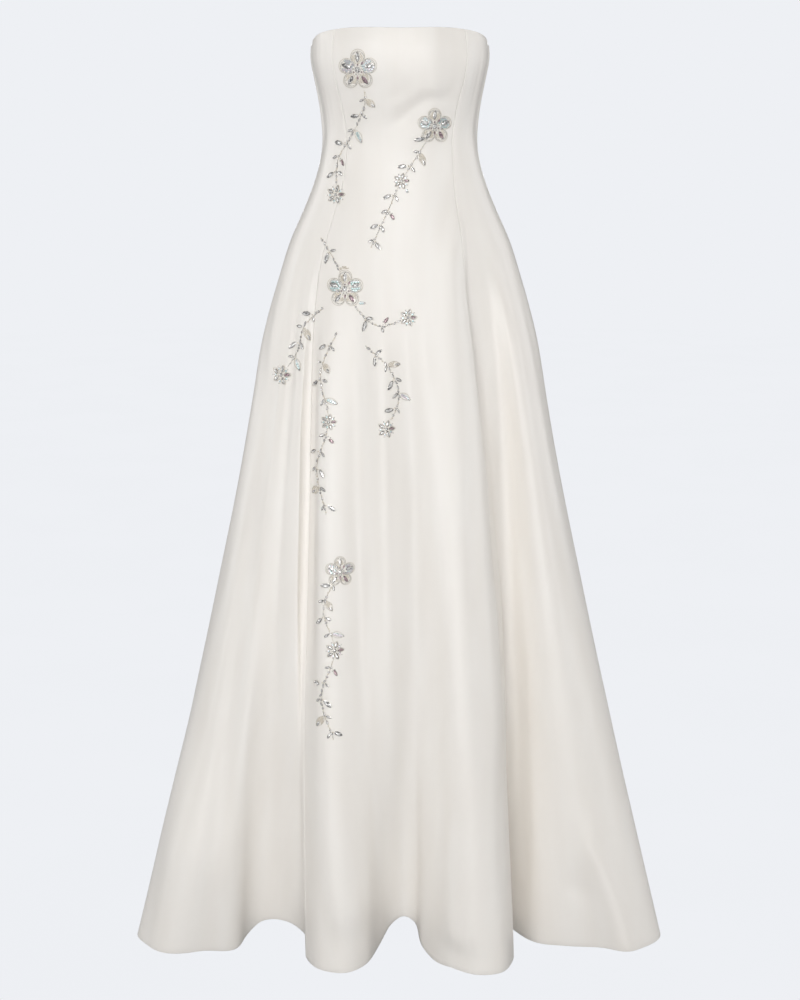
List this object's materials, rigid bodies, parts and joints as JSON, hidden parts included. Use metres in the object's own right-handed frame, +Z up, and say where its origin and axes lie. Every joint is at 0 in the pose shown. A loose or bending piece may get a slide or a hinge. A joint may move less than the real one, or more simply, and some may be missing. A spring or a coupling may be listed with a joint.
{
  "type": "wedding dress",
  "caption": "Strapless princess-line satin gown, bodice and flared folded skirt in one, beaded sprays on the left front, back zip.",
  "frame": {"origin": "centre of the waist, where the wearer holds the dress", "axes": "+Z up along the figure, -Y out of the front, +X to the right of someone looking at the front"},
  "size_m": [0.8157, 0.6103, 1.3695],
  "materials": {
    "satin": "ivory satin-faced heavy silk weave, soft sheen",
    "beadwork": "cut crystal, seed beads and sequins on thread",
    "zip_tape": "woven polyester tape with nylon coil",
    "zip_metal": "ivory enamelled zinc"
  },
  "bodies": {
    "dress": {"centre_front": "satin", "side_front_left": "satin", "side_front_right": "satin", "side_back_left": "satin", "side_back_right": "satin", "centre_back_left": "satin", "centre_back_right": "satin", "spray_bust": "beadwork", "spray_waist": "beadwork", "spray_hip": "beadwork", "spray_side": "beadwork", "spray_thigh": "beadwork", "spray_trail": "beadwork", "spray_skirt": "beadwork", "zip_tape": "zip_tape", "zip_slider": "zip_metal"},
    "zip_pull": {"zip_pull": "zip_metal"}
  },
  "joints": [
    {"name": "zip_pull_hinge", "type": "hinge", "parent": "dress", "child": "zip_pull", "pos_m": [0, 0.09385, 0.10288], "axis": [1, 0, 0], "range_deg": [0, 150]}
  ]
}
